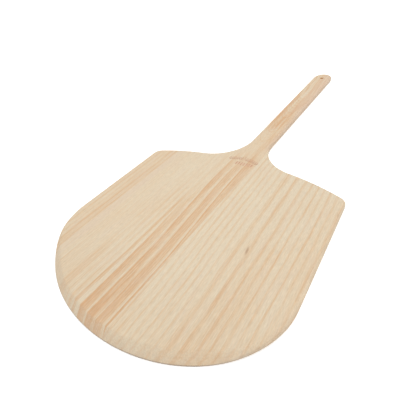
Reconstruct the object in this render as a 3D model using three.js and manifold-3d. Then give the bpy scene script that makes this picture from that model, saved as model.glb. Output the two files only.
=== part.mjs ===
// Wooden pizza peel: a blade glued up from three boards laid edge to edge, with the handle cut in one
// piece with the middle board.
// Millimetres, +Z up. The flat underside lies on Z = 0, +Y points along the handle, and the origin is
// the middle of the peel's length and width.
import * as THREE from "three";
import { mergeVertices } from "three/addons/utils/BufferGeometryUtils.js";
import Module from "manifold-3d";

const wasm = await Module();
wasm.setup();

// Overall size
const OVERALL_LENGTH = 914.4;
const BLADE_WIDTH = 406.4;
const THICKNESS = 12;

// Blade outline: a half-ellipse in front, straight sides, rounded rear corners, sweeping shoulders
const FRONT_DEPTH = 147.5;
const SHOULDER_FROM_TIP = 355.7; // where the shoulder curve would meet the straight side
const SHOULDER_RADIUS = 403;
const SHOULDER_CENTRE_X = 32.3;
const CORNER_RADIUS = 18;

// Handle outline
const NECK_RADIUS = 86;
const NECK_WIDTH = 46.2;
const HANDLE_END_WIDTH = 49.6;
const END_CAP_DEPTH = 31;

// Edges: rounded over all round, ground to a thin nose along the front
const EDGE_RADIUS = 4;
const NOSE_THICKNESS = 3;
const NOSE_RADIUS = 0.9;
const BEVEL_WIDTH = 12.5;
const BEVEL_FULL_TO = 30; // distance from the tip up to which the bevel keeps its full width
const BEVEL_GONE_AT = 98; // distance from the tip at which it has run out

// Hanging hole, bored through the handle
const HOLE_DIAMETER = 9.5;
const HOLE_FROM_END = 37.4;
const HOLE_CHAMFER = 0.6;

// Glue lines: the left one runs along the grain, the right one leans a little towards the neck
const LEFT_GLUE_X = -153;
const RIGHT_GLUE_X_AT_TIP = 19;
const RIGHT_GLUE_X_AT_END = 34;

// Smoothness of the curves
const FRONT_STEPS = 40;
const SIDE_STEPS = 4;
const CORNER_STEPS = 8;
const SHOULDER_STEPS = 16;
const NECK_STEPS = 14;
const HANDLE_STEPS = 4;
const CAP_STEPS = 14;
const EDGE_STEPS = 4;
const HOLE_STEPS = 40;

const OVERSIZE = 20; // how far a cutter reaches past the wood it cuts
const MERGE_DISTANCE = 1e-4;

const halfWidth = BLADE_WIDTH / 2;
const tipY = -OVERALL_LENGTH / 2;
const endY = OVERALL_LENGTH / 2;

function arc(x, y, radius, from, to, clockwise = false) {
  return new THREE.EllipseCurve(x, y, radius, radius, from, to, clockwise);
}

function line(x1, y1, x2, y2) {
  return new THREE.LineCurve(new THREE.Vector2(x1, y1), new THREE.Vector2(x2, y2));
}

// The curves of the right half of the outline, from the tip of the blade to the end of the handle.
// The corner, the shoulder, the neck and the handle side run tangent into each other.
function rightHalfCurves() {
  const frontY = tipY + FRONT_DEPTH;
  const shoulderReach = halfWidth - SHOULDER_CENTRE_X;
  const shoulderY = tipY + SHOULDER_FROM_TIP - Math.sqrt(SHOULDER_RADIUS ** 2 - shoulderReach ** 2);

  const cornerX = halfWidth - CORNER_RADIUS;
  const cornerReach = cornerX - SHOULDER_CENTRE_X;
  const cornerRise = Math.sqrt((SHOULDER_RADIUS - CORNER_RADIUS) ** 2 - cornerReach ** 2);
  const cornerAngle = Math.atan2(cornerRise, cornerReach);
  const cornerY = shoulderY + cornerRise;

  const neckX = NECK_WIDTH / 2 + NECK_RADIUS;
  const neckReach = neckX - SHOULDER_CENTRE_X;
  const neckRise = Math.sqrt((SHOULDER_RADIUS + NECK_RADIUS) ** 2 - neckReach ** 2);
  const neckAngle = Math.atan2(neckRise, neckReach);
  const neckY = shoulderY + neckRise;

  const capX = HANDLE_END_WIDTH / 2;
  const capY = endY - END_CAP_DEPTH;
  return [
    [new THREE.EllipseCurve(0, frontY, halfWidth, FRONT_DEPTH, -Math.PI / 2, 0), FRONT_STEPS],
    [line(halfWidth, frontY, halfWidth, cornerY), SIDE_STEPS],
    [arc(cornerX, cornerY, CORNER_RADIUS, 0, cornerAngle), CORNER_STEPS],
    [arc(SHOULDER_CENTRE_X, shoulderY, SHOULDER_RADIUS, cornerAngle, neckAngle), SHOULDER_STEPS],
    [arc(neckX, neckY, NECK_RADIUS, neckAngle + Math.PI, Math.PI, true), NECK_STEPS],
    [line(NECK_WIDTH / 2, neckY, capX, capY), HANDLE_STEPS],
    [new THREE.EllipseCurve(0, capY, capX, END_CAP_DEPTH, 0, Math.PI / 2), CAP_STEPS],
  ];
}

// Points round the whole outline, counterclockwise from the tip, each with the direction inwards.
function outlineStations() {
  const right = [];
  for (const [curve, steps] of rightHalfCurves()) {
    for (let i = right.length ? 1 : 0; i <= steps; i++) {
      const point = curve.getPoint(i / steps);
      const tangent = curve.getTangent(i / steps);
      right.push({ point, inward: new THREE.Vector2(-tangent.y, tangent.x) });
    }
  }
  const last = right.length - 1;
  right[0].point.x = 0;
  right[0].inward.set(0, 1);
  right[last].point.set(0, endY);
  right[last].inward.set(0, -1);
  const left = [];
  for (let i = last - 1; i > 0; i--) {
    const { point, inward } = right[i];
    left.push({
      point: new THREE.Vector2(-point.x, point.y),
      inward: new THREE.Vector2(-inward.x, inward.y),
    });
  }
  return [...right, ...left];
}

// The edge seen in section, from the flat underside to the flat top, as [inset, height] pairs.
// A rounded wall of height `top`, then a straight slope up to the top face at the inset `bevel`.
function edgeSection(radius, top, bevel) {
  const section = [];
  for (let i = 0; i <= EDGE_STEPS; i++) {
    const angle = (i / EDGE_STEPS) * (Math.PI / 2);
    section.push([radius * (1 - Math.sin(angle)), radius * (1 - Math.cos(angle))]);
  }
  for (let i = 0; i <= EDGE_STEPS; i++) {
    const angle = (i / EDGE_STEPS) * (Math.PI / 2);
    section.push([radius * (1 - Math.cos(angle)), top - radius * (1 - Math.sin(angle))]);
  }
  section.push([bevel, THICKNESS]);
  return section;
}

const plainEdge = edgeSection(EDGE_RADIUS, THICKNESS, EDGE_RADIUS + NOSE_RADIUS);
const noseEdge = edgeSection(NOSE_RADIUS, NOSE_THICKNESS, BEVEL_WIDTH);

// Share of the front bevel in the edge at a point of the outline: 1 at the tip, 0 along the sides.
function bevelShare(y) {
  return 1 - THREE.MathUtils.smoothstep(y - tipY, BEVEL_FULL_TO, BEVEL_GONE_AT);
}

// A solid from rings of equally many points, closed by a flat face at each end.
function solidFromRings(rings) {
  const size = rings[0].length;
  const positions = rings.flat().flatMap((p) => [p.x, p.y, p.z]);
  const index = [];
  for (let r = 0; r + 1 < rings.length; r++) {
    for (let i = 0; i < size; i++) {
      const a = r * size + i;
      const b = r * size + ((i + 1) % size);
      index.push(a, b, b + size);
      index.push(a, b + size, a + size);
    }
  }
  const topStart = (rings.length - 1) * size;
  for (const [a, b, c] of THREE.ShapeUtils.triangulateShape(rings.at(0), [])) {
    index.push(a, c, b);
  }
  for (const [a, b, c] of THREE.ShapeUtils.triangulateShape(rings.at(-1), [])) {
    index.push(topStart + a, topStart + b, topStart + c);
  }
  const geometry = new THREE.BufferGeometry();
  geometry.setAttribute("position", new THREE.Float32BufferAttribute(positions, 3));
  geometry.setIndex(index);
  return geometry;
}

function manifoldOf(geometry) {
  const bare = geometry.clone();
  bare.deleteAttribute("normal");
  bare.deleteAttribute("uv");
  const merged = mergeVertices(bare, MERGE_DISTANCE);
  return new wasm.Manifold(
    new wasm.Mesh({
      numProp: 3,
      vertProperties: merged.attributes.position.array,
      triVerts: new Uint32Array(merged.index.array),
    }),
  );
}

function geometryOf(solid) {
  const mesh = solid.getMesh();
  const geometry = new THREE.BufferGeometry();
  geometry.setAttribute("position", new THREE.Float32BufferAttribute(mesh.vertProperties, 3));
  geometry.setIndex([...mesh.triVerts]);
  const flat = geometry.toNonIndexed();
  flat.computeVertexNormals();
  return flat;
}

// The whole peel before the hole is bored and before it is divided into its boards.
function peelBlank() {
  const stations = outlineStations();
  const rings = plainEdge.map(([plainInset, plainHeight], k) =>
    stations.map(({ point, inward }) => {
      const share = bevelShare(point.y);
      const inset = THREE.MathUtils.lerp(plainInset, noseEdge[k][0], share);
      const height = THREE.MathUtils.lerp(plainHeight, noseEdge[k][1], share);
      return new THREE.Vector3(point.x + inward.x * inset, point.y + inward.y * inset, height);
    }),
  );
  return manifoldOf(solidFromRings(rings));
}

// The drill for the hanging hole, flared where it leaves the wood so that both rims are eased.
function holeDrill() {
  const radius = HOLE_DIAMETER / 2;
  const flare = radius + HOLE_CHAMFER + OVERSIZE;
  const profile = [
    new THREE.Vector2(0, -OVERSIZE),
    new THREE.Vector2(flare, -OVERSIZE),
    new THREE.Vector2(radius, HOLE_CHAMFER),
    new THREE.Vector2(radius, THICKNESS - HOLE_CHAMFER),
    new THREE.Vector2(flare, THICKNESS + OVERSIZE),
    new THREE.Vector2(0, THICKNESS + OVERSIZE),
  ];
  const drill = new THREE.LatheGeometry(profile, HOLE_STEPS);
  drill.rotateX(Math.PI / 2);
  drill.translate(0, endY - HOLE_FROM_END, 0);
  return manifoldOf(drill);
}

// A slab as tall as the wood and longer than the peel, between two lines given by their X at the
// tip end and at the handle end.
function slab(leftAtTip, leftAtEnd, rightAtTip, rightAtEnd) {
  const low = tipY - OVERSIZE;
  const high = endY + OVERSIZE;
  const shape = new THREE.Shape([
    new THREE.Vector2(leftAtTip, low),
    new THREE.Vector2(rightAtTip, low),
    new THREE.Vector2(rightAtEnd, high),
    new THREE.Vector2(leftAtEnd, high),
  ]);
  const depth = THICKNESS + 2 * OVERSIZE;
  const geometry = new THREE.ExtrudeGeometry(shape, { depth, bevelEnabled: false });
  geometry.translate(0, 0, -OVERSIZE);
  return manifoldOf(geometry);
}

const outside = halfWidth + OVERSIZE;
const boards = [
  {
    name: "left_edge_board",
    cutter: slab(-outside, -outside, LEFT_GLUE_X, LEFT_GLUE_X),
    colour: 0xe0c29c,
  },
  {
    name: "handle_board",
    cutter: slab(LEFT_GLUE_X, LEFT_GLUE_X, RIGHT_GLUE_X_AT_TIP, RIGHT_GLUE_X_AT_END),
    colour: 0xdfc19b,
  },
  {
    name: "right_board",
    cutter: slab(RIGHT_GLUE_X_AT_TIP, RIGHT_GLUE_X_AT_END, outside, outside),
    colour: 0xe4cba6,
  },
];

const peel = new THREE.Group();
peel.name = "pizza_peel";
const wood = peelBlank().subtract(holeDrill());
for (const { name, cutter, colour } of boards) {
  const material = new THREE.MeshStandardMaterial({ color: colour, roughness: 0.72, metalness: 0 });
  const board = new THREE.Mesh(geometryOf(wood.intersect(cutter)), material);
  board.name = name;
  peel.add(board);
}

export default peel;
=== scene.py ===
"""Wooden pizza peel: three edge-glued softwood boards, the middle one running on into the handle.

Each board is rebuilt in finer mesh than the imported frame, in the same frame. Outline sizes are in
millimetres, seen from above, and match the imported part. +Y points along the handle and Z is up.
"""

import math

import bmesh
import bpy
from mathutils import Matrix, Vector, kdtree


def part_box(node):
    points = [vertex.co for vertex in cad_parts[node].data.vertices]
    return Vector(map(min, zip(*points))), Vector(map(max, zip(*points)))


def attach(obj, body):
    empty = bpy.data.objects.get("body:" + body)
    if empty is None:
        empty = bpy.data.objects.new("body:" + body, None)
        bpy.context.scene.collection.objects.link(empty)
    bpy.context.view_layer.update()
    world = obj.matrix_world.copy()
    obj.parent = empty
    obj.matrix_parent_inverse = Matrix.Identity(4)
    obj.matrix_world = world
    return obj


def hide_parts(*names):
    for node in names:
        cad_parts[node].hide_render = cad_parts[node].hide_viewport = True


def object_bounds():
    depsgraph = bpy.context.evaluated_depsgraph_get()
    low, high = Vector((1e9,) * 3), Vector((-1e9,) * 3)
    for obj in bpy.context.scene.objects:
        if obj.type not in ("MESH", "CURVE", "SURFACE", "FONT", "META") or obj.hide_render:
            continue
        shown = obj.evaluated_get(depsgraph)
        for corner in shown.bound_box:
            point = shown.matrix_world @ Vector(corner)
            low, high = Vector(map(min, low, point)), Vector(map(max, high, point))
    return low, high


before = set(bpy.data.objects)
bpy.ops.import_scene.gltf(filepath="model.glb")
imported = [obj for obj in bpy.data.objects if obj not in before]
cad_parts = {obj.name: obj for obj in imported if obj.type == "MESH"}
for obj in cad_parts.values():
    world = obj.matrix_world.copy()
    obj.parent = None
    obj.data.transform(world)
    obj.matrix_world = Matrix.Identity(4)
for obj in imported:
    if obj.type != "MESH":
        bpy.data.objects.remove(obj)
cad_low, cad_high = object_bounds()

MM = 0.001

# Overall size, read from the frame
TIP_Y = cad_low.y / MM
END_Y = cad_high.y / MM
HALF_WIDTH = cad_high.x / MM
THICKNESS = cad_high.z / MM

# Outline of the blade and the handle
FRONT_DEPTH = 147.5
SHOULDER_FROM_TIP = 355.7
SHOULDER_RADIUS = 403.0
SHOULDER_CENTRE_X = 32.3
CORNER_RADIUS = 18.0
NECK_RADIUS = 86.0
NECK_HALF_WIDTH = 23.1
END_HALF_WIDTH = 24.8
END_CAP_DEPTH = 31.0

# Edge sections
EDGE_RADIUS = 4.0
NOSE_THICKNESS = 3.0
NOSE_RADIUS = 0.9
NOSE_SWEEP = math.radians(54)
BEVEL_WIDTH = 12.5
BEVEL_EASE = 0.7
BEVEL_FULL_TO = 30.0
BEVEL_GONE_AT = 98.0
SUPPORT = 1.5
SUPPORT_STEPS = (0.4, 0.6, 0.8, 1.0)

# Hanging hole
HOLE_RADIUS = 4.75
HOLE_FROM_END = 37.4
HOLE_EASE = 0.6

# Glue lines
LEFT_GLUE_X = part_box("left_edge_board")[1].x / MM
RIGHT_GLUE_X_AT_TIP = 19.0
RIGHT_GLUE_X_AT_END = 34.0
CUTTER_MARGIN = 20.0
JOINT_CHAMFER = 0.12
WELD = 0.002
CUT_TOLERANCE = 1e-7

# Mesh density
FRONT_STEPS = 180
SIDE_STEPS = 30
CORNER_STEPS = 24
SHOULDER_STEPS = 60
NECK_STEPS = 48
HANDLE_STEPS = 60
CAP_STEPS = 56
EDGE_STEPS = 8
HOLE_STEPS = 72
SMOOTH_BELOW = math.radians(33)

# Wear and painted contact shadow along the outer edge
EDGE_ATTRIBUTE = "edge_near"
WORN_AND_SHADOWED_WIDTH = 0.5


# ---------------------------------------------------------------- outline

def arc_stations(centre, radii, start, end, steps, side):
    """Points on an ellipse with the direction into the wood.

    side is 1 where the outline is convex and -1 where it is concave.
    """
    stations = []
    for i in range(steps):
        angle = start + (end - start) * i / steps
        c, s = math.cos(angle), math.sin(angle)
        point = Vector((centre[0] + radii[0] * c, centre[1] + radii[1] * s))
        outward = Vector((c / radii[0], s / radii[1])).normalized()
        stations.append((point, -side * outward))
    return stations


def line_stations(start, end, steps):
    run = Vector(end) - Vector(start)
    inward = Vector((-run.y, run.x)).normalized()
    return [(Vector(start) + run * (i / steps), inward) for i in range(steps)]


def outline_stations():
    """The whole outline, counterclockwise from the tip, as (point, inward direction) pairs."""
    front_y = TIP_Y + FRONT_DEPTH
    reach = HALF_WIDTH - SHOULDER_CENTRE_X
    shoulder_y = TIP_Y + SHOULDER_FROM_TIP - math.sqrt(SHOULDER_RADIUS ** 2 - reach ** 2)

    corner_x = HALF_WIDTH - CORNER_RADIUS
    corner_reach = corner_x - SHOULDER_CENTRE_X
    corner_rise = math.sqrt((SHOULDER_RADIUS - CORNER_RADIUS) ** 2 - corner_reach ** 2)
    corner_angle = math.atan2(corner_rise, corner_reach)
    corner_y = shoulder_y + corner_rise

    neck_x = NECK_HALF_WIDTH + NECK_RADIUS
    neck_reach = neck_x - SHOULDER_CENTRE_X
    neck_rise = math.sqrt((SHOULDER_RADIUS + NECK_RADIUS) ** 2 - neck_reach ** 2)
    neck_angle = math.atan2(neck_rise, neck_reach)
    neck_y = shoulder_y + neck_rise

    cap_y = END_Y - END_CAP_DEPTH
    corner = (corner_x, corner_y)
    shoulder = (SHOULDER_CENTRE_X, shoulder_y)
    neck = (neck_x, neck_y)
    front_radii = (HALF_WIDTH, FRONT_DEPTH)
    cap_radii = (END_HALF_WIDTH, END_CAP_DEPTH)
    quarter = math.pi / 2
    right = arc_stations((0, front_y), front_radii, -quarter, 0, FRONT_STEPS, 1)
    right += line_stations((HALF_WIDTH, front_y), (HALF_WIDTH, corner_y), SIDE_STEPS)
    right += arc_stations(corner, (CORNER_RADIUS,) * 2, 0, corner_angle, CORNER_STEPS, 1)
    right += arc_stations(shoulder, (SHOULDER_RADIUS,) * 2, corner_angle, neck_angle,
                          SHOULDER_STEPS, 1)
    right += arc_stations(neck, (NECK_RADIUS,) * 2, neck_angle + math.pi, math.pi, NECK_STEPS, -1)
    right += line_stations((NECK_HALF_WIDTH, neck_y), (END_HALF_WIDTH, cap_y), HANDLE_STEPS)
    right += arc_stations((0, cap_y), cap_radii, 0, quarter, CAP_STEPS, 1)
    left = [(Vector((-p.x, p.y)), Vector((-n.x, n.y))) for p, n in reversed(right[1:])]
    return right + [(Vector((0, END_Y)), Vector((0, -1)))] + left


def round_corner(radius, sweep, steps):
    """(inset, rise) pairs along a rounded edge, from the wall inwards."""
    angles = [sweep * i / steps for i in range(steps + 1)]
    return [(radius * (1 - math.cos(a)), radius * math.sin(a)) for a in angles]


def edge_section(radius, top, sweep, inner):
    """An edge seen in section, from the underside up to the top face, as (inset, height) pairs."""
    quarter = math.pi / 2
    under = [(inset, radius - rise) for inset, rise in round_corner(radius, quarter, EDGE_STEPS)]
    over = [(inset, top - radius + rise) for inset, rise in round_corner(radius, sweep, EDGE_STEPS)]
    return [(radius + SUPPORT, 0.0)] + under[::-1] + over + inner


def plain_section():
    insets = [EDGE_RADIUS + SUPPORT * k for k in SUPPORT_STEPS]
    inner = [(inset, THICKNESS) for inset in insets]
    return edge_section(EDGE_RADIUS, THICKNESS, math.pi / 2, inner)


def nose_section():
    """A thin nose with a straight slope behind it that meets the top face in an eased edge."""
    slope = (THICKNESS - NOSE_THICKNESS) / (BEVEL_WIDTH - NOSE_RADIUS)
    fall = slope * BEVEL_EASE
    inner = [
        (BEVEL_WIDTH - BEVEL_EASE, THICKNESS - fall),
        (BEVEL_WIDTH, THICKNESS - fall / 4),
        (BEVEL_WIDTH + BEVEL_EASE, THICKNESS),
        (BEVEL_WIDTH + BEVEL_EASE + SUPPORT, THICKNESS),
    ]
    return edge_section(NOSE_RADIUS, NOSE_THICKNESS, NOSE_SWEEP, inner)


def smooth_step(value, low, high):
    t = min(max((value - low) / (high - low), 0.0), 1.0)
    return t * t * (3 - 2 * t)


# ---------------------------------------------------------------- meshes

def add_rings(bm, rings):
    """Closes a stack of equally long rings of points into one solid."""
    rows = [[bm.verts.new(point) for point in ring] for ring in rings]
    for low, high in zip(rows, rows[1:]):
        for i in range(len(low)):
            j = (i + 1) % len(low)
            bm.faces.new((low[i], low[j], high[j], high[i]))
    bm.faces.new(rows[0][::-1])
    bm.faces.new(rows[-1])


def blank_bmesh(stations):
    """The whole peel in one piece, as a fresh bmesh."""
    bm = bmesh.new()
    rings = []
    for plain, nose in zip(plain_section(), nose_section()):
        ring = []
        for point, inward in stations:
            share = 1 - smooth_step(point.y - TIP_Y, BEVEL_FULL_TO, BEVEL_GONE_AT)
            inset = plain[0] + (nose[0] - plain[0]) * share
            height = plain[1] + (nose[1] - plain[1]) * share
            spot = point + inward * inset
            ring.append(Vector((spot.x, spot.y, height)) * MM)
        rings.append(ring)
    add_rings(bm, rings)
    return bm


def saw(bm, point, outward):
    """Cuts away what lies on the outward side of a plane, closes the cut and eases its rim."""
    everything = bm.verts[:] + bm.edges[:] + bm.faces[:]
    cut = bmesh.ops.bisect_plane(bm, geom=everything, dist=CUT_TOLERANCE, plane_co=point,
                                 plane_no=outward, clear_outer=True)["geom_cut"]
    rim = [e for e in cut if isinstance(e, bmesh.types.BMEdge)]
    bmesh.ops.contextual_create(bm, geom=rim)
    bmesh.ops.bevel(bm, geom=rim, offset=JOINT_CHAMFER * MM, segments=1, profile=0.5,
                    affect="EDGES", clamp_overlap=True)


def object_from(bm, name):
    bmesh.ops.remove_doubles(bm, verts=bm.verts[:], dist=WELD * MM)
    bmesh.ops.recalc_face_normals(bm, faces=bm.faces[:])
    mesh = bpy.data.meshes.new(name)
    bm.to_mesh(mesh)
    bm.free()
    obj = bpy.data.objects.new(name, mesh)
    bpy.context.scene.collection.objects.link(obj)
    return obj


def carve(obj, cutter):
    """Cuts the cutter's shape out of obj and removes the cutter."""
    modifier = obj.modifiers.new("carve", "BOOLEAN")
    modifier.operation = "DIFFERENCE"
    modifier.solver = "EXACT"
    modifier.object = cutter
    depsgraph = bpy.context.evaluated_depsgraph_get()
    mesh = bpy.data.meshes.new_from_object(obj.evaluated_get(depsgraph), depsgraph=depsgraph)
    obj.modifiers.clear()
    obj.data = mesh
    bpy.data.objects.remove(cutter)


def hole_drill():
    """A drill for the hanging hole that leaves both rims eased."""
    bm = bmesh.new()
    profile = [(HOLE_RADIUS + HOLE_EASE, -CUTTER_MARGIN)]
    eased = round_corner(HOLE_EASE, math.pi / 2, EDGE_STEPS)
    profile += [(HOLE_RADIUS + HOLE_EASE - rise, inset) for inset, rise in eased]
    profile += [(HOLE_RADIUS + HOLE_EASE - rise, THICKNESS - inset) for inset, rise in eased[::-1]]
    profile += [(HOLE_RADIUS + HOLE_EASE, THICKNESS + CUTTER_MARGIN)]
    hole_y = END_Y - HOLE_FROM_END
    rings = []
    for radius, height in profile:
        ring = []
        for i in range(HOLE_STEPS):
            angle = 2 * math.pi * i / HOLE_STEPS
            x, y = radius * math.cos(angle), hole_y + radius * math.sin(angle)
            ring.append(Vector((x, y, height)) * MM)
        rings.append(ring)
    add_rings(bm, rings)
    return object_from(bm, "hole_drill")


def board(name, stations, cuts):
    bm = blank_bmesh(stations)
    for point, outward in cuts:
        saw(bm, Vector(point) * MM, Vector(outward))
    return object_from(bm, name)


def finish_board(obj, node, outline, material):
    """Material, smooth shading, and how near each vertex is to the outer edge, for the wear and the
    painted contact shadow.
    """
    mesh = obj.data
    mesh.materials.clear()
    mesh.materials.append(material)
    mesh.polygons.foreach_set("use_smooth", [True] * len(mesh.polygons))
    mesh.set_sharp_from_angle(angle=SMOOTH_BELOW)
    near = mesh.attributes.new(EDGE_ATTRIBUTE, "FLOAT", "POINT")
    for i, vertex in enumerate(mesh.vertices):
        flat = Vector((vertex.co.x, vertex.co.y, 0))
        distance = outline.find(flat)[2] / MM
        near.data[i].value = 1 - smooth_step(distance, WORN_AND_SHADOWED_WIDTH, EDGE_RADIUS + SUPPORT)
    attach(obj, "root")
    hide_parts(node)


# ---------------------------------------------------------------- burned mark

MARK_X = -2.0
MARK_FROM_TIP = 333.0
ARCH_RADIUS = 65.0
ARCH_HALF_ANGLE = math.radians(29)
ARCH_PAIRS = 6
ROW_CENTRE = (7.0, 42.0)
ROW_PITCH = 5.4
ROW_COUNT = 7
MARK_DEPTH = 0.25
GRAIN_SIZE = (6.4, 1.9)
UPRIGHT_SIZE = (12.0, 3.2)
GRAIN_LEAN = math.radians(38)
GRAIN_POINTS = 14
GRAIN_GAP = 0.55
GRAIN_LEAD = 0.6
STEM_HALF_WIDTH = 0.4
STEM_STEPS = 40


def leaf_outline(base, direction, size):
    """A pointed oval of the given length and width that starts at base and lies along direction."""
    length, width = size
    across = Vector((-direction.y, direction.x))
    points = []
    for i in range(GRAIN_POINTS):
        turn = 2 * math.pi * i / GRAIN_POINTS
        along = length * (1 - math.cos(turn)) / 2
        wide = width / 2 * math.sin(turn) * abs(math.sin(turn / 2)) ** 0.5
        points.append(base + direction * along + across * wide)
    return points[::-1]


def turned(vector, angle):
    c, s = math.cos(angle), math.sin(angle)
    return Vector((vector.x * c - vector.y * s, vector.x * s + vector.y * c))


def mark_shapes():
    """Two ears of wheat bent into an arch over a row of upright grains.

    They are flat outlines that don't cross, because the boolean needs separate cutters.
    """
    up = Vector((0, 1))
    centre = Vector((MARK_X, TIP_Y + MARK_FROM_TIP))
    shapes = []
    for side in (-1, 1):
        for k in range(ARCH_PAIRS):
            aside = (k + 1 + GRAIN_LEAD) / (ARCH_PAIRS + GRAIN_LEAD)
            spoke = turned(up, -side * ARCH_HALF_ANGLE * aside)
            towards_top = turned(spoke, side * math.pi / 2)
            for flank in (-1, 1):
                base = centre + spoke * (ARCH_RADIUS + flank * (STEM_HALF_WIDTH + GRAIN_GAP))
                lean = turned(towards_top, -side * flank * GRAIN_LEAN)
                shapes.append(leaf_outline(base, lean, GRAIN_SIZE))
    crown = centre + up * (ARCH_RADIUS + STEM_HALF_WIDTH + GRAIN_GAP)
    shapes.append(leaf_outline(crown, up, GRAIN_SIZE))
    for k in range(ROW_COUNT):
        shift = Vector((ROW_PITCH * (k - (ROW_COUNT - 1) / 2), 0))
        shapes.append(leaf_outline(centre + Vector(ROW_CENTRE) + shift, up, UPRIGHT_SIZE))
    turns = [-ARCH_HALF_ANGLE * (1 - 2 * i / STEM_STEPS) for i in range(STEM_STEPS + 1)]
    spokes = [turned(up, turn) for turn in turns]
    stem = [centre + s * (ARCH_RADIUS - STEM_HALF_WIDTH) for s in spokes]
    stem += [centre + s * (ARCH_RADIUS + STEM_HALF_WIDTH) for s in reversed(spokes)]
    return shapes + [stem]


def mark_cutter():
    """The mark's outlines raised into shallow cutters that straddle the top face."""
    bm = bmesh.new()
    for shape in mark_shapes():
        heights = (THICKNESS - MARK_DEPTH, THICKNESS + MARK_DEPTH)
        add_rings(bm, [[Vector((p.x, p.y, z)) * MM for p in shape] for z in heights])
    return object_from(bm, "mark_cutter")


# ---------------------------------------------------------------- colours

def srgb(red, green, blue, share=1.0):
    """A linear colour from three 0-255 values, darkened to the given share."""
    def linear(value):
        v = value / 255
        return share * (v / 12.92 if v <= 0.04045 else ((v + 0.055) / 1.055) ** 2.4)
    return (linear(red), linear(green), linear(blue), 1.0)


ALBEDO = 0.84
PALE = srgb(230, 214, 187, ALBEDO)
TAN = srgb(226, 199, 165, ALBEDO)
DEEP = srgb(219, 177, 136, ALBEDO)
PINK = srgb(226, 204, 181, ALBEDO)
END_GRAIN = srgb(216, 200, 178, ALBEDO)
END_DARK = srgb(182, 156, 132, ALBEDO)
KNOT = srgb(168, 124, 94, ALBEDO)
GRIME = srgb(178, 150, 122, ALBEDO)
# Drilled wood in the hole: amber end grain, with painted light that makes it lighter than the
# wood's albedo to lift the shade in the hole
DRILLED_AND_LIT = srgb(232, 178, 116)
BURN = srgb(208, 156, 130, ALBEDO)
SCORCH = srgb(222, 184, 158, ALBEDO)
# Painted contact shadow on the lowest part of the edges that face the tip or the end
CONTACT_SHADOW = srgb(112, 88, 74, ALBEDO)

TAN_AT = 0.45


# ---------------------------------------------------------------- shader nodes

NOISE_MEAN = 0.5


class Tree:
    """Short names for the shader nodes a material is made of."""

    def __init__(self, owner):
        owner.use_nodes = True
        self.nodes = owner.node_tree.nodes
        self.links = owner.node_tree.links
        self.nodes.clear()

    def feed(self, socket, value):
        if isinstance(value, bpy.types.NodeSocket):
            self.links.new(value, socket)
        else:
            socket.default_value = value

    def node(self, kind, inputs=None, **settings):
        made = self.nodes.new(kind)
        for key, value in settings.items():
            setattr(made, key, value)
        for key, value in (inputs or {}).items():
            self.feed(made.inputs[key], value)
        return made

    def math(self, operation, *values):
        made = self.node("ShaderNodeMath", dict(enumerate(values)), operation=operation)
        return made.outputs[0]

    def sum(self, *values):
        total = values[0]
        for value in values[1:]:
            total = self.math("ADD", total, value)
        return total

    def less(self, value, other):
        return self.math("SUBTRACT", value, other)

    def times(self, *values):
        total = values[0]
        for value in values[1:]:
            total = self.math("MULTIPLY", total, value)
        return total

    def distance(self, across, down):
        """The length of a flat vector."""
        return self.math("SQRT", self.sum(self.times(across, across), self.times(down, down)))

    def ramp(self, value, low, high, at_low=0.0, at_high=1.0, kind="SMOOTHSTEP"):
        """A step from at_low to at_high as value goes from low to high."""
        inputs = {0: value, 1: low, 2: high, 3: at_low, 4: at_high}
        return self.node("ShaderNodeMapRange", inputs, interpolation_type=kind).outputs[0]

    def window(self, value, low, high, soft):
        """1 between low and high, 0 outside, with soft ends."""
        rise = self.ramp(value, low - soft, low + soft)
        return self.times(rise, self.ramp(value, high - soft, high + soft, 1, 0))

    def stretch(self, vector, x, y, z):
        """The vector with its axes divided by the three lengths."""
        inputs = {0: vector, 1: (1 / x, 1 / y, 1 / z)}
        return self.node("ShaderNodeVectorMath", inputs, operation="MULTIPLY").outputs[0]

    def position(self):
        """The spot on the part in millimetres."""
        return self.stretch(self.node("ShaderNodeTexCoord").outputs["Object"], MM, MM, MM)

    def noise(self, vector, seed, kind):
        """Noise between about 0.2 and 0.8. See the table of kinds below."""
        cell, offset, detail, roughness = kind
        inputs = {0: self.stretch(vector, *cell), 1: (seed + offset,) * 3}
        moved = self.node("ShaderNodeVectorMath", inputs, operation="ADD").outputs[0]
        inputs = {"Vector": moved, "Scale": 1.0, "Detail": detail, "Roughness": roughness}
        return self.node("ShaderNodeTexNoise", inputs).outputs["Fac"]

    def swing(self, noise, share):
        """Noise moved to lie about zero, times share. It reaches a third of share each way."""
        return self.times(self.less(noise, NOISE_MEAN), share)

    def mix(self, share, first, second, blend="MIX"):
        inputs = {0: share, 6: first, 7: second}
        made = self.node("ShaderNodeMix", inputs, data_type="RGBA", blend_type=blend)
        return made.outputs[2]

    def finish(self, colour, roughness, shine, height, relief):
        """Ends the tree in a rough surface. relief is a strength and a depth in millimetres."""
        strength, depth = relief
        inputs = {"Strength": strength, "Distance": depth * MM, "Height": height}
        normal = self.node("ShaderNodeBump", inputs).outputs[0]
        inputs = {"Base Color": colour, "Roughness": roughness, "Normal": normal,
                  "Specular IOR Level": shine}
        shader = self.node("ShaderNodeBsdfPrincipled", inputs)
        self.node("ShaderNodeOutputMaterial", {"Surface": shader.outputs[0]})


# ---------------------------------------------------------------- wood

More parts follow.
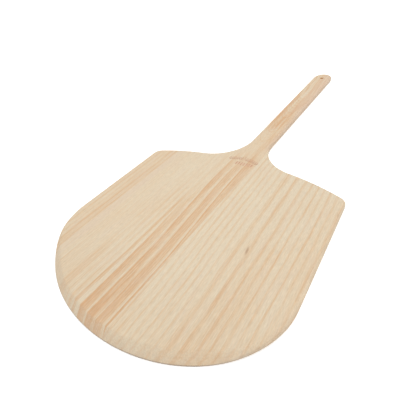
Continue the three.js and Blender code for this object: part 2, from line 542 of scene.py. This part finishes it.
# Kinds of noise: cell size in millimetres (across, along, through the board), what is added to the
# board's seed, detail, roughness
WANDER_NOISE = ((70, 330, 70), 0, 2.0, 0.5)
WAVER_NOISE = ((10, 48, 10), 7, 2.0, 0.5)
FIBRE_NOISE = ((0.55, 30, 0.55), 13, 3.0, 0.6)
STREAK_NOISE = ((2.0, 60, 2.0), 19, 3.0, 0.65)
MOTTLE_NOISE = ((1.5, 15, 1.5), 29, 2.0, 0.6)
CLOUD_NOISE = ((40, 110, 40), 23, 2.0, 0.5)
BLUSH_NOISE = ((14, 55, 14), 61, 3.0, 0.6)
SPECKLE_NOISE = ((1.1, 9, 1.1), 53, 2.0, 0.7)
SCUFF_NOISE = ((9, 22, 9), 41, 3.0, 0.6)
VEIN_NOISE = ((5.0, 80, 1), 83, 2.0, 0.5)
SCORCH_NOISE = ((3, 6, 3), 3.0, 3.0, 0.5)
CHAR_NOISE = ((0.5, 12, 0.5), 9.0, 3.0, 0.5)

# How far noise pushes the growth sideways, in millimetres for a whole unit of noise
GROWTH_SWING = 3.3

# How much each kind of noise darkens the wood, where 0 is PALE and 1 is DEEP
FIBRE_DARK = 0.45
STREAK_DARK = 0.7
CLOUD_DARK = 0.35
MOTTLE_DARK = 0.28
PATCHY_LEAST = 0.5

# Ramps are given as (from, to, value before, value after), or (from, to) when they go from 0 to 1
BLUSH_RAMP = (0.45, 0.75, 0, 0.28)
END_RAMP = (0.3, 1.0)
END_SHARE = 0.5
END_DARK_RAMP = (0.72, 0.96, 0, 0.55)
SPECKLE_LIGHT = 0.38
MOTTLE_LIGHT = 0.16
# Painted light falloff on the top face, darker towards the tip and towards the right
FALLOFF_FROM_TIP = (10, 190, 0.038, 0)
FALLOFF_TO_RIGHT = (0, 140, 0, 0.014)
FALLOFF_ON_TOP = (0.85, 0.99)
# Where the painted contact shadow lies: ramps of height in millimetres, and of how squarely the
# surface faces the tip or the end
CONTACT_SHADOW_HEIGHTS = ((2.3, 3.5, 0.34, 0), (0.9, 2.4, 0.5, 0))
CONTACT_SHADOW_FACING = (0.3, 0.7)
SCUFF_RAMP = (0.35, 0.7)
SCUFF_SHARE = 0.2
EDGE_GRIME = 0.03

ROUGHNESS = 0.66
EDGE_POLISH = -0.08
FIBRE_ROUGHNESS = 0.16
END_ROUGHNESS = 0.1
WOOD_SHINE = 0.3
FIBRE_HEIGHT = 0.5
GROWTH_HEIGHT = 0.7
STREAK_HEIGHT = 0.3
WOOD_RELIEF = (0.35, 0.12)


def wood_material(name, seed, tilt, latewood, tint):
    """Bare sanded softwood, solid through the board.

    latewood gives how dark the growth is at a spot, and tint adds the colours only that board has.
    tilt is how far the growth leans sideways per millimetre of depth.
    """
    material = bpy.data.materials.new(name)
    t = Tree(material)
    p = t.position()
    x, y, z = t.node("ShaderNodeSeparateXYZ", {0: p}).outputs
    along = t.less(y, TIP_Y)
    depth = t.less(z, THICKNESS)

    wander = t.swing(t.noise(p, seed, WANDER_NOISE), GROWTH_SWING)
    waver = t.swing(t.noise(p, seed, WAVER_NOISE), GROWTH_SWING)
    u = t.sum(x, t.times(depth, tilt), wander, waver)
    growth = latewood(t, u, x, along)

    fibre = t.noise(p, seed, FIBRE_NOISE)
    streak = t.noise(p, seed, STREAK_NOISE)
    mottle = t.noise(p, seed, MOTTLE_NOISE)
    cloud = t.noise(p, seed, CLOUD_NOISE)
    patchy = t.sum(streak, PATCHY_LEAST)
    dark = t.sum(t.times(growth, patchy), t.swing(fibre, FIBRE_DARK), t.swing(streak, STREAK_DARK),
                 t.swing(cloud, CLOUD_DARK), t.swing(mottle, MOTTLE_DARK))
    shade = t.node("ShaderNodeValToRGB", {0: dark})
    shade.color_ramp.elements[0].color = PALE
    shade.color_ramp.elements[1].color = DEEP
    shade.color_ramp.elements.new(TAN_AT).color = TAN
    blush = t.noise(p, seed, BLUSH_NOISE)
    colour = t.mix(t.ramp(blush, *BLUSH_RAMP), shade.outputs[0], PINK)

    normal = t.node("ShaderNodeNewGeometry").outputs["Normal"]
    _, ahead, up = t.node("ShaderNodeSeparateXYZ", {0: normal}).outputs
    facing = t.math("ABSOLUTE", ahead)
    end_on = t.ramp(facing, *END_RAMP)
    colour = t.mix(t.times(end_on, END_SHARE), colour, END_GRAIN)
    colour = t.mix(t.ramp(facing, *END_DARK_RAMP), colour, END_DARK)
    colour = tint(t, colour, x, along)

    speckle = t.noise(p, seed, SPECKLE_NOISE)
    light = t.sum(1.0, t.swing(speckle, SPECKLE_LIGHT), t.swing(mottle, MOTTLE_LIGHT))
    # Painted light falloff: the top face is darkened towards the tip and to the right, taken off
    # the lightness of speckle and mottle
    painted_falloff = t.sum(t.ramp(along, *FALLOFF_FROM_TIP), t.ramp(x, *FALLOFF_TO_RIGHT))
    light = t.less(light, t.times(painted_falloff, t.ramp(up, *FALLOFF_ON_TOP)))
    shaded = t.node("ShaderNodeCombineXYZ", {0: light, 1: light, 2: light}).outputs[0]
    colour = t.mix(1.0, colour, shaded, "MULTIPLY")

    near = t.node("ShaderNodeAttribute", attribute_name=EDGE_ATTRIBUTE).outputs["Fac"]
    # Painted contact shadow: near the outer edge and low down, surfaces facing the tip or the end
    # darken towards the floor, the nose most
    painted_contact_shadow = t.sum(*[t.ramp(z, *heights) for heights in CONTACT_SHADOW_HEIGHTS])
    colour = t.mix(t.times(near, painted_contact_shadow, t.ramp(facing, *CONTACT_SHADOW_FACING)), colour, CONTACT_SHADOW)
    scuff = t.ramp(t.noise(p, seed, SCUFF_NOISE), *SCUFF_RAMP)
    grimy = t.times(near, t.math("MULTIPLY_ADD", scuff, SCUFF_SHARE, EDGE_GRIME))
    colour = t.mix(grimy, colour, GRIME)

    roughness = t.sum(ROUGHNESS, t.times(near, EDGE_POLISH), t.swing(fibre, FIBRE_ROUGHNESS),
                      t.times(end_on, END_ROUGHNESS))
    height = t.sum(t.times(fibre, FIBRE_HEIGHT), t.times(growth, GROWTH_HEIGHT),
                   t.times(streak, STREAK_HEIGHT))
    t.finish(colour, roughness, WOOD_SHINE, height, WOOD_RELIEF)
    return material


# ---------------------------------------------------------------- growth

# Places are in millimetres, across from the middle line or along from the tip. Strengths are 0 for
# the palest wood and 1 for the darkest. Besides ramps there are
#   windows (from, to, softness)
#   bands   (left edge, right edge, strength at the left edge, strength at the right edge)
#   rings   (seed, least strength, most strength)
#   stripes (window across, ramp of strength along)
#   stains  (window across, window along, strength)
BAND_RISE = (-0.8, 0.9)
BAND_LEVEL_INSET = 1.0
BAND_RIM = (0.8, 2.8)
BAND_RIM_SHARE = 0.35
BAND_FALL = (-1.8, 2.2)
RING_RISE = (0.24, 0.5)
RING_FALL = (0.5, 0.84, 1, 0)


def growth_band(t, u, left, right, at_left, at_right):
    """A wide dark band with a sharp left edge that pales towards a softer right edge."""
    rise = t.ramp(u, left + BAND_RISE[0], left + BAND_RISE[1])
    inner_left, inner_right = left + BAND_LEVEL_INSET, right - BAND_LEVEL_INSET
    level = t.ramp(u, inner_left, inner_right, at_left, at_right, "LINEAR")
    rim = t.ramp(u, left + BAND_RIM[0], left + BAND_RIM[1], at_left * BAND_RIM_SHARE, 0)
    fall = t.ramp(u, right + BAND_FALL[0], right + BAND_FALL[1], 1, 0)
    return t.times(rise, t.sum(level, rim), fall)


def fine_rings(t, turns, seed, least, most):
    """Narrow growth lines, one per whole turn, each with a strength of its own."""
    part = t.math("FRACT", turns)
    index = t.math("ADD", t.math("FLOOR", turns), seed)
    random = t.node("ShaderNodeTexWhiteNoise", {"W": index}, noise_dimensions="1D")
    pulse = t.times(t.ramp(part, *RING_RISE), t.ramp(part, *RING_FALL))
    strength = t.math("MULTIPLY_ADD", random.outputs["Value"], most - least, least)
    return t.times(pulse, strength)


def stripe(t, u, along, across_window, along_ramp):
    return t.times(t.window(u, *across_window), t.ramp(along, *along_ramp))


def stain(t, u, along, across_window, along_window, strength):
    return t.times(t.window(u, *across_window), t.window(along, *along_window), strength)


LEFT_RING_SHIFT = 194.8
LEFT_RING_PITCH = 11.0
LEFT_RINGS = (3, 0.26, 0.38)
LEFT_STRIPE = ((-172.0, -157.0, 3.5), (240, 340, 0.2, 0.08))
LEFT_BASE = 0.23


def left_latewood(t, u, x, along):
    turns = t.math("DIVIDE", t.math("ADD", u, LEFT_RING_SHIFT), LEFT_RING_PITCH)
    rings = fine_rings(t, turns, *LEFT_RINGS)
    return t.sum(rings, stripe(t, u, along, *LEFT_STRIPE), LEFT_BASE)


BLADE_ONLY = (375, 440, 1, 0)


def middle_latewood(t, u, x, along):
    """The middle board's growth.

    Its shader is near the size at which Cycles gives up and draws black. After adding nodes here,
    look at a render of this board.
    """
    blade = t.ramp(along, *BLADE_ONLY)
    figure = t.sum(heart_bands(t, u, along), outer_lines(t, u, x, along))
    return t.sum(t.times(figure, blade), flame(t, u, x, along))


# The heart is the group of wide bands beside the right glue line
HEART_DRIFT = (125, 325, 0, 8)
HEART_TIP_BAND = (-34.5, -21.5, 0.6, 0.36)
HEART_TIP_BAND_FADE = (120, 290, 1, 0)
HEART_SHORT_BAND = (-27.0, -22.0, 0.25, 0.18)
HEART_SHORT_BAND_WINDOW = (205, 275, 30)
HEART_LONG_BANDS = ((-17.2, -6.0, 0.64, 0.34), (-0.2, 13.4, 0.56, 0.38))
HEART_LONG_BANDS_FADE = (320, 352, 1, 0.62)
HEART_GLUE_BAND = (17.4, 44.0, 0.46, 0.4)
HEART_TIP_STRIPE = ((-10, -1, 2), (70, 120, 0.3, 0))
HEART_RIM_STRIPE = ((18.0, 19.2, 0.8), (150, 240, 0.42, 0.15))
HEART_TIP_GAIN = (20, 140, 1.3, 1)
HEART_NECK_GAIN = (230, 320, 1, 1.18)
HEART_THREAD_PITCH = 3.3
HEART_THREADS = (91, 0.0, 0.3)
HEART_WINDOW = (-36, 42, 3)
HEART_BASE = 0.09


def heart_bands(t, u, along):
    """Wide dark bands that drift sideways from the tip to the neck, with threads among them."""
    u = t.math("ADD", u, t.ramp(along, *HEART_DRIFT))
    tip_fade = t.ramp(along, *HEART_TIP_BAND_FADE)
    short_window = t.window(along, *HEART_SHORT_BAND_WINDOW)
    long_fade = t.ramp(along, *HEART_LONG_BANDS_FADE)
    threads = fine_rings(t, t.math("DIVIDE", u, HEART_THREAD_PITCH), *HEART_THREADS)
    bands = t.sum(
        t.times(growth_band(t, u, *HEART_TIP_BAND), tip_fade),
        t.times(growth_band(t, u, *HEART_SHORT_BAND), short_window),
        *[t.times(growth_band(t, u, *band), long_fade) for band in HEART_LONG_BANDS],
        stripe(t, u, along, *HEART_TIP_STRIPE),
        growth_band(t, u, *HEART_GLUE_BAND),
        stripe(t, u, along, *HEART_RIM_STRIPE),
    )
    bands = t.times(bands, t.ramp(along, *HEART_TIP_GAIN), t.ramp(along, *HEART_NECK_GAIN))
    return t.sum(bands, t.times(t.window(u, *HEART_WINDOW), t.sum(threads, HEART_BASE)))


OUTER_DRIFT = (30, 110, 3, 0)
OUTER_SHIFT = 49.8
OUTER_PITCH = 11.2
OUTER_RINGS = (12, 0.24, 0.46)
OUTER_RINGS_ACROSS = (-100, -50, 0.15, 1)
BETWEEN_RATE = 2.0
BETWEEN_RINGS = (57, 0.06, 0.3)
BETWEEN_RINGS_ACROSS = (-145, -110, 0.6, 0.8)
HAIR_RATE = 3.1
HAIR_RINGS = (91, 0.0, 0.2)
OUTER_LINES_END = (-41, -39, 1, 0)
OUTER_LINES_FADE = (225, 300, 1, 0.55)
NEAREST_BAND = (-46.0, -41.5, 0.36, 0.3)
NEAREST_BAND_FADE = (215, 270, 1, 0)
OUTER_BASE = (-140, -60, 0.12, 0.05)
OUTER_STRIPES = (
    ((-92, -77, 4), (80, 150, 0.3, 0)),
    ((-59, -52, 2), (40, 90, 0.22, 0)),
)


def outer_lines(t, u, x, along):
    """Thin lines left of the heart, which fade towards the shoulder and the left glue line."""
    u = t.math("ADD", u, t.ramp(along, *OUTER_DRIFT))
    turns = t.math("DIVIDE", t.math("ADD", u, OUTER_SHIFT), OUTER_PITCH)
    lines = t.times(fine_rings(t, turns, *OUTER_RINGS), t.ramp(x, *OUTER_RINGS_ACROSS))
    between = t.times(fine_rings(t, t.times(turns, BETWEEN_RATE), *BETWEEN_RINGS),
                      t.ramp(x, *BETWEEN_RINGS_ACROSS))
    hair = fine_rings(t, t.times(turns, HAIR_RATE), *HAIR_RINGS)
    lines = t.times(t.sum(lines, between, hair), t.ramp(x, *OUTER_LINES_END))
    nearest = growth_band(t, u, *NEAREST_BAND)
    base = t.ramp(x, *OUTER_BASE)
    stripes = t.sum(*[stripe(t, x, along, *row) for row in OUTER_STRIPES])
    return t.sum(t.times(lines, t.ramp(along, *OUTER_LINES_FADE)),
                 t.times(nearest, t.ramp(along, *NEAREST_BAND_FADE)), stripes, base)


# Arches on the handle: how far their sides bend towards its end, and where their middle is
FLAME_SHIFT = 5.0
FLAME_HALF_WIDTH = 20.0
OUTER_ARCH = (30.0, 532.0)
OUTER_ARCH_RAMP = (-24, 30)
INNER_ARCH = (260.0, 605.0)
INNER_ARCH_RAMP = (-30, 30, 1, 0)
FLAME_FADE = (640, 840, 0.32, 0.22)
ARCH_LINE_BEND = -3.2
ARCH_LINE_PITCH = 15.0
ARCH_LINE_WANDER = 0.06
ARCH_LINES = (31, 0.1, 0.42)
ARCH_LINES_WINDOW = (470, 760, 60)
HANDLE_STAINS = (
    ((-30, -11, 3), (620, 750, 30), 0.4),
    ((-10, -1, 2.5), (640, 900, 40), -0.16),
    ((2, 10, 2), (610, 900, 40), 0.28),
    ((18, 30, 2), (610, 900, 40), 0.084),
    ((17, 30, 2.5), (440, 560, 30), 0.3),
    ((6, 18, 4), (370, 520, 35), 0.26),
)
SLANT_FROM = 590.0
SLANT_LEAN = 0.13
SLANT_X = 8.0
SLANT_STAIN = ((-2, 2, 1.5), (590, 650, 15), -0.35)
HANDLE_LEAN = 0.05
HANDLE_THREAD_PITCH = 6.3
HANDLE_THREADS = (77, 0.0, 0.5)
HANDLE_THREADS_RAMP = (480, 570)
VEIN_SWING = 2.1
VEIN_RAMP = (470, 580)
HANDLE_BASE = ((380, 440, 0, 0.2), (500, 580, 0, 0.08), (700, 820, 0, 0.1))


def flame(t, u, x, along):
    """The handle's figure: nested arches, open towards its end, around a pale middle."""
    across = t.math("DIVIDE", t.math("ADD", x, FLAME_SHIFT), FLAME_HALF_WIDTH)
    arch = t.times(across, across)
    outer = t.less(along, t.math("MULTIPLY_ADD", arch, *OUTER_ARCH))
    inner = t.less(along, t.math("MULTIPLY_ADD", arch, *INNER_ARCH))
    body = t.times(t.ramp(outer, *OUTER_ARCH_RAMP), t.ramp(inner, *INNER_ARCH_RAMP),
                   t.ramp(along, *FLAME_FADE))
    total = t.sum(body, *[stain(t, x, along, *row) for row in HANDLE_STAINS])

    level = t.math("MULTIPLY_ADD", arch, ARCH_LINE_BEND, t.math("DIVIDE", along, ARCH_LINE_PITCH))
    lines = fine_rings(t, t.sum(level, t.times(u, ARCH_LINE_WANDER)), *ARCH_LINES)
    total = t.sum(total, t.times(lines, t.window(along, *ARCH_LINES_WINDOW)))

    slant_x = t.math("MULTIPLY_ADD", t.less(along, SLANT_FROM), SLANT_LEAN, SLANT_X)
    total = t.sum(total, stain(t, t.less(x, slant_x), along, *SLANT_STAIN))

    skewed = t.math("MULTIPLY_ADD", along, HANDLE_LEAN, u)
    threads = fine_rings(t, t.math("DIVIDE", skewed, HANDLE_THREAD_PITCH), *HANDLE_THREADS)
    total = t.sum(total, t.times(threads, t.ramp(along, *HANDLE_THREADS_RAMP)))
    spot = t.node("ShaderNodeCombineXYZ", {0: skewed, 1: along}).outputs[0]
    veins = t.swing(t.noise(spot, 0, VEIN_NOISE), VEIN_SWING)
    total = t.sum(total, t.times(veins, t.ramp(along, *VEIN_RAMP)))
    return t.sum(total, *[t.ramp(along, *rise) for rise in HANDLE_BASE])


KNOT_X = 111.6
KNOT_FROM_TIP = 193.0
KNOT_LEAN = 0.13
KNOT_HALF_WIDTH = 1.9
KNOT_HALF_LENGTH = 7.6
KNOT_BOW = (0.0, 6.0, 2.5, 0.0)
KNOT_HALO = (0.8, 4.0, 0.5, 0)
KNOT_HEART = (0.2, 1.5, 0.56, 0)


def knot_distance(t, x, along):
    """Distance from the middle of a small slanting knot, in units of its half size."""
    ahead = t.less(along, KNOT_FROM_TIP)
    across = t.math("DIVIDE", t.sum(t.less(x, KNOT_X), t.times(ahead, KNOT_LEAN)), KNOT_HALF_WIDTH)
    down = t.math("DIVIDE", ahead, KNOT_HALF_LENGTH)
    return t.distance(across, down)


SPREAD_RAMP = (60, 320, -1, 1)
SPREAD_FROM = 118
SPREAD_SHARE = 0.032
TIP_SHIFT = (100, 190, 2.2, 0)
TIP_SHIFT_END = (117, 124, 1, 0)
# Straight runs of growth: from, to, turns before, turns after
RIGHT_TURNS = ((0.0, 83.0, 0.0, 7.9), (83.0, 131.0, 0.0, 2.95), (131.0, 210.0, 0.0, 7.1))
RIGHT_TURNS_SHIFT = -0.3
RIGHT_RINGS = (5, 0.26, 0.44)
RIGHT_RINGS_ALONG = (20, 260, 0.8, 1.1)
RIGHT_BANDS = ((92.5, 95.5, 0.16, 0.12), (110.0, 114.0, 0.16, 0.12))
RIGHT_BANDS_TIP = (60, 160, 1.1, 1)
RIGHT_BANDS_NECK = (180, 320, 1, 1.4)
RIGHT_STRIPE = ((93, 132, 8), (50, 130, 0.03, 0))
RIGHT_STAIN = ((85, 150, 10), (95, 175, 25), 0.12)
RIGHT_OUTER = (85, 130, 0, 0.12)
RIGHT_OUTER_FADE = (190, 260, 1, 0.3)
RIGHT_EDGE = (170, 203, 0, 0.15)
RIGHT_TIP = (20, 150, 0.17, 0)


def right_latewood(t, u, x, along):
    u = t.less(u, t.ramp(knot_distance(t, x, along), *KNOT_BOW))
    spread = t.times(t.ramp(along, *SPREAD_RAMP), t.times(t.less(x, SPREAD_FROM), SPREAD_SHARE))
    tip_shift = t.times(t.ramp(along, *TIP_SHIFT), t.ramp(x, *TIP_SHIFT_END))
    u = t.less(u, t.sum(spread, tip_shift))
    turns = t.sum(*[t.ramp(u, *run, "LINEAR") for run in RIGHT_TURNS], RIGHT_TURNS_SHIFT)
    rings = t.times(fine_rings(t, turns, *RIGHT_RINGS), t.ramp(along, *RIGHT_RINGS_ALONG))
    strong = t.sum(*[growth_band(t, u, *band) for band in RIGHT_BANDS])
    strong = t.times(strong, t.ramp(along, *RIGHT_BANDS_TIP), t.ramp(along, *RIGHT_BANDS_NECK))
    warm = t.sum(stripe(t, x, along, *RIGHT_STRIPE), stain(t, x, along, *RIGHT_STAIN))
    outer = t.times(t.ramp(x, *RIGHT_OUTER), t.ramp(along, *RIGHT_OUTER_FADE))
    outer = t.sum(outer, t.ramp(x, *RIGHT_EDGE), t.ramp(along, *RIGHT_TIP))
    return t.sum(rings, strong, warm, outer)


# ---------------------------------------------------------------- tints

LEFT_PINK = ((-160, -138, 4), (40, 120, 0.2, 0.4))
HANDLE_PINK = ((2, 30, 5), (590, 680, 0, 0.4))
EDGE_PINK_ACROSS = (14, 21)
EDGE_PINK_START = (430, 470)
EDGE_PINK_FADE = (620, 690, 0.5, 0.2)
DRILLED_AND_LIT_SHARE = 0.8


def no_tint(t, colour, x, along):
    return colour


def middle_tint(t, colour, x, along):
    """Pink beside the left glue line and on the handle, and amber drilled wood inside the hole,
    with painted light that lifts the shade in it.
    """
    pink = t.sum(stripe(t, x, along, *LEFT_PINK), stripe(t, x, along, *HANDLE_PINK))
    edge = t.times(t.ramp(x, *EDGE_PINK_ACROSS), t.ramp(along, *EDGE_PINK_START),
                   t.ramp(along, *EDGE_PINK_FADE))
    colour = t.mix(t.sum(pink, edge), colour, PINK)
    from_hole = t.distance(x, t.less(along, END_Y - TIP_Y - HOLE_FROM_END))
    drilled_and_lit = t.ramp(from_hole, HOLE_RADIUS, HOLE_RADIUS + HOLE_EASE, DRILLED_AND_LIT_SHARE, 0)
    return t.mix(drilled_and_lit, colour, DRILLED_AND_LIT)


def right_tint(t, colour, x, along):
    """The knot and the darker wood around it."""
    away = knot_distance(t, x, along)
    colour = t.mix(t.ramp(away, *KNOT_HALO), colour, TAN)
    return t.mix(t.ramp(away, *KNOT_HEART), colour, KNOT)


SCORCH_RAMP = (0.3, 0.7)
CHAR_ROUGHNESS = (0.2, 0.8, 0.7, 0.9)
CHAR_SHINE = 0.2
CHAR_RELIEF = (0.4, 0.1)


def burned_material():
    """Scorched wood in the sunk mark."""
    material = bpy.data.materials.new("burned_mark")
    t = Tree(material)
    p = t.position()
    scorch = t.noise(p, 0, SCORCH_NOISE)
    char = t.noise(p, 0, CHAR_NOISE)
    colour = t.mix(t.ramp(scorch, *SCORCH_RAMP), BURN, SCORCH)
    t.finish(colour, t.ramp(char, *CHAR_ROUGHNESS), CHAR_SHINE, char, CHAR_RELIEF)
    return material


def paint_mark(obj, material):
    """Gives the floor and walls of the sunk mark the scorched material."""
    obj.data.materials.append(material)
    reach = ARCH_RADIUS * math.sin(ARCH_HALF_ANGLE) + GRAIN_SIZE[0]
    bottom = TIP_Y + MARK_FROM_TIP
    top = bottom + ARCH_RADIUS + 2 * GRAIN_SIZE[0]
    for polygon in obj.data.polygons:
        mid = polygon.center / MM
        sunk = THICKNESS - 1.5 * MARK_DEPTH < mid.z < THICKNESS - WELD
        if sunk and abs(mid.x - MARK_X) < reach and bottom < mid.y < top:
            polygon.material_index = 1


# ---------------------------------------------------------------- build

stations = outline_stations()
outline = kdtree.KDTree(len(stations))
for index, (spot, _) in enumerate(stations):
    outline.insert(Vector((spot.x, spot.y, 0)) * MM, index)
outline.balance()

glue_run = END_Y - TIP_Y + 2 * CUTTER_MARGIN
lean = Vector((glue_run, RIGHT_GLUE_X_AT_TIP - RIGHT_GLUE_X_AT_END, 0)).normalized()
left_cut = (LEFT_GLUE_X, 0, 0)
right_cut = (RIGHT_GLUE_X_AT_TIP, TIP_Y - CUTTER_MARGIN, 0)
to_right = Vector((1, 0, 0))
left_edge_board = board("left_edge_board_wood", stations, [(left_cut, to_right)])
handle_board = board("handle_board_wood", stations, [(left_cut, -to_right), (right_cut, lean)])
right_board = board("right_board_wood", stations, [(right_cut, -lean)])
carve(handle_board, hole_drill())
for marked in (handle_board, right_board):
    carve(marked, mark_cutter())

left_wood = wood_material("left_edge_wood", 2.0, 0.8, left_latewood, no_tint)
middle_wood = wood_material("handle_wood", 5.0, 0.2, middle_latewood, middle_tint)
right_wood = wood_material("right_wood", 11.0, -0.6, right_latewood, right_tint)
finish_board(left_edge_board, "left_edge_board", outline, left_wood)
finish_board(handle_board, "handle_board", outline, middle_wood)
finish_board(right_board, "right_board", outline, right_wood)
burned = burned_material()
for marked in (handle_board, right_board):
    paint_mark(marked, burned)


# ---------------------------------------------------------------- stage

CAMERA_AZIMUTH = math.radians(40.01)
CAMERA_ELEVATION = math.radians(41.62)
CAMERA_ROLL = math.radians(-9.35)
CAMERA_TARGET = (3.4, -204.1, 0.0)
CAMERA_DISTANCE = 486.2
CAMERA_LENS = 24.21
CLIP_START = 0.01

FLOOR_SIDE = 12.0
FLOOR_DROP = 0.0005
FLOOR_TONE = 0.92
FLOOR_SHINE_THROUGH = 0.0012
BACKDROP_GLOW = 0.27
SKY_STRENGTH = 0.732
BELOW_STRENGTH = 1.1
HORIZON = 0.05
SKY_GLOW = 0.6
KEY_STRENGTH = 1.455
KEY_SPREAD = math.radians(50)
KEY_FROM = (0.2, 0.22, 0.94)


def add_camera():
    data = bpy.data.cameras.new("camera")
    data.lens = CAMERA_LENS
    data.clip_start = CLIP_START
    camera = bpy.data.objects.new("camera", data)
    bpy.context.scene.collection.objects.link(camera)
    level = math.cos(CAMERA_ELEVATION)
    away = (math.sin(CAMERA_AZIMUTH) * level, -math.cos(CAMERA_AZIMUTH) * level)
    back = Vector((*away, math.sin(CAMERA_ELEVATION)))
    side = Vector((0, 0, 1)).cross(back).normalized()
    up = back.cross(side)
    right = math.cos(CAMERA_ROLL) * side + math.sin(CAMERA_ROLL) * up
    top = -math.sin(CAMERA_ROLL) * side + math.cos(CAMERA_ROLL) * up
    place = (Vector(CAMERA_TARGET) + back * CAMERA_DISTANCE) * MM
    camera.matrix_world = Matrix((
        (right.x, top.x, back.x, place.x),
        (right.y, top.y, back.y, place.y),
        (right.z, top.z, back.z, place.z),
        (0, 0, 0, 1),
    ))
    bpy.context.scene.camera = camera


def floor_material():
    """Pale and matt.

    It glows a little for the camera, so that it stays white, and can be seen through from below.
    Light also passes over very short distances, so that the underside isn't black from there.
    """
    material = bpy.data.materials.new("pale_floor")
    t = Tree(material)
    path = t.node("ShaderNodeLightPath").outputs
    from_below = t.node("ShaderNodeNewGeometry").outputs["Backfacing"]
    tone = (FLOOR_TONE, FLOOR_TONE, FLOOR_TONE, 1)
    matt = t.node("ShaderNodeBsdfDiffuse", {"Color": tone}).outputs[0]
    strength = t.times(path["Is Camera Ray"], BACKDROP_GLOW)
    glow = t.node("ShaderNodeEmission", {"Strength": strength}).outputs[0]
    seen = t.node("ShaderNodeAddShader", {0: matt, 1: glow}).outputs[0]
    clear = t.node("ShaderNodeBsdfTransparent").outputs[0]
    close = t.math("LESS_THAN", path["Ray Length"], FLOOR_SHINE_THROUGH)
    through = t.math("MAXIMUM", from_below, close)
    surface = t.node("ShaderNodeMixShader", {0: through, 1: seen, 2: clear}).outputs[0]
    t.node("ShaderNodeOutputMaterial", {"Surface": surface})
    return material


def add_floor():
    bm = bmesh.new()
    bmesh.ops.create_grid(bm, x_segments=1, y_segments=1, size=FLOOR_SIDE / 2)
    floor = object_from(bm, "floor")
    floor.location.z = -FLOOR_DROP
    floor.data.materials.append(floor_material())


def add_sky():
    """An even sky, a little dimmer from below, that the camera sees as plain white."""
    world = bpy.data.worlds.new("studio")
    t = Tree(world)
    direction = t.node("ShaderNodeTexCoord").outputs["Generated"]
    height = t.node("ShaderNodeSeparateXYZ", {0: direction}).outputs[2]
    strength = t.ramp(height, -HORIZON, HORIZON, BELOW_STRENGTH, SKY_STRENGTH)
    seen = t.node("ShaderNodeLightPath").outputs["Is Camera Ray"]
    strength = t.sum(strength, t.times(seen, SKY_GLOW))
    light = t.node("ShaderNodeBackground", {"Color": (1, 1, 1, 1), "Strength": strength})
    t.node("ShaderNodeOutputWorld", {"Surface": light.outputs[0]})
    bpy.context.scene.world = world


def add_key_light():
    """A broad soft light from the right and a little behind the blade."""
    data = bpy.data.lights.new("key", "SUN")
    data.energy = KEY_STRENGTH
    data.angle = KEY_SPREAD
    key = bpy.data.objects.new("key", data)
    key.rotation_euler = (-Vector(KEY_FROM)).to_track_quat("-Z", "Y").to_euler()
    bpy.context.scene.collection.objects.link(key)


add_camera()
add_floor()
add_sky()
add_key_light()
bpy.context.scene.view_settings.view_transform = "Standard"
